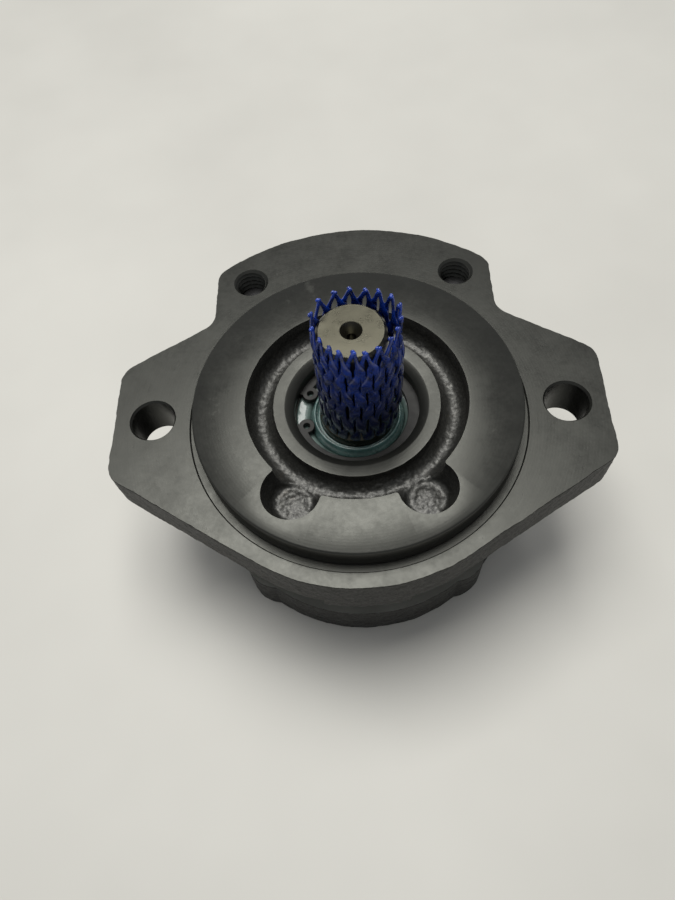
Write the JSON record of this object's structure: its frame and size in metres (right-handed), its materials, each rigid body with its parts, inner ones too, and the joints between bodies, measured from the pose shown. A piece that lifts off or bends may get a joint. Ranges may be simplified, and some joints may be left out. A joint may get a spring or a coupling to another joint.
{
  "type": "hydraulic gear pump",
  "caption": "Short gear pump with a round pilot on a two-bolt diamond flange, ports in its rear cover, and a keyed shaft under a blue mesh sleeve.",
  "frame": {"origin": "centre of the pilot at the flange's mounting face, on the drive shaft's axis", "axes": "+Z out along the drive shaft, +X towards a mounting ear, +Y towards the idler gear"},
  "size_m": [0.1264, 0.1107, 0.0886],
  "materials": {
    "cast_cover": "machined faces over oiled as-cast iron",
    "cast_housing": "as cast, oiled",
    "cast_rear": "as cast, oiled",
    "shaft_steel": "ground steel with a warm oil film",
    "gear_steel": "ground",
    "dark_steel": "phosphated spring steel",
    "bronze": "turned bearing bronze",
    "black_rubber": "moulded nitrile",
    "seal_green": "rubber-covered case, oily",
    "seal_rubber": "moulded nitrile, wet with oil",
    "black_oxide": "black oxide",
    "blue_plastic": "glossy extruded polyethylene net"
  },
  "bodies": {
    "pump_body": {"front_cover": "cast_cover", "gear_housing": "cast_housing", "rear_cover": "cast_rear", "front_drive_bushing": "bronze", "front_idler_bushing": "bronze", "rear_drive_bushing": "bronze", "rear_idler_bushing": "bronze", "front_wear_plate": "bronze", "pressure_plate": "bronze", "pressure_plate_seal": "black_rubber", "front_body_seal": "black_rubber", "rear_body_seal": "black_rubber", "front_dowel_pins": "gear_steel", "rear_dowel_pins": "gear_steel", "shaft_seal_case": "seal_green", "shaft_seal_lip": "seal_rubber", "seal_garter_spring": "gear_steel", "seal_retaining_ring": "dark_steel", "cap_screws": "black_oxide"},
    "drive_line": {"drive_shaft": "shaft_steel", "drive_shaft_key": "gear_steel", "drive_gear": "gear_steel", "drive_gear_key": "gear_steel", "drive_gear_snap_rings": "dark_steel"},
    "idler_line": {"idler_shaft": "shaft_steel", "idler_gear": "gear_steel", "idler_gear_key": "gear_steel", "idler_gear_snap_rings": "dark_steel"},
    "sleeve": {"protective_sleeve": "blue_plastic"}
  },
  "joints": [
    {"name": "drive_spin", "type": "hinge", "parent": "pump_body", "child": "drive_line", "pos_m": [0, 0, 0], "axis": [0, 0, 1], "continuous": true},
    {"name": "idler_spin", "type": "hinge", "parent": "pump_body", "child": "idler_line", "pos_m": [0, 0.034, 0], "axis": [0, 0, 1], "continuous": true},
    {"name": "sleeve_slide", "type": "slide", "parent": "drive_line", "child": "sleeve", "axis": [0, 0, 1], "range_m": [0, 0.04]}
  ],
  "couplings": [
    {"joint": "idler_spin", "follows": "drive_spin", "ratio": -1}
  ]
}
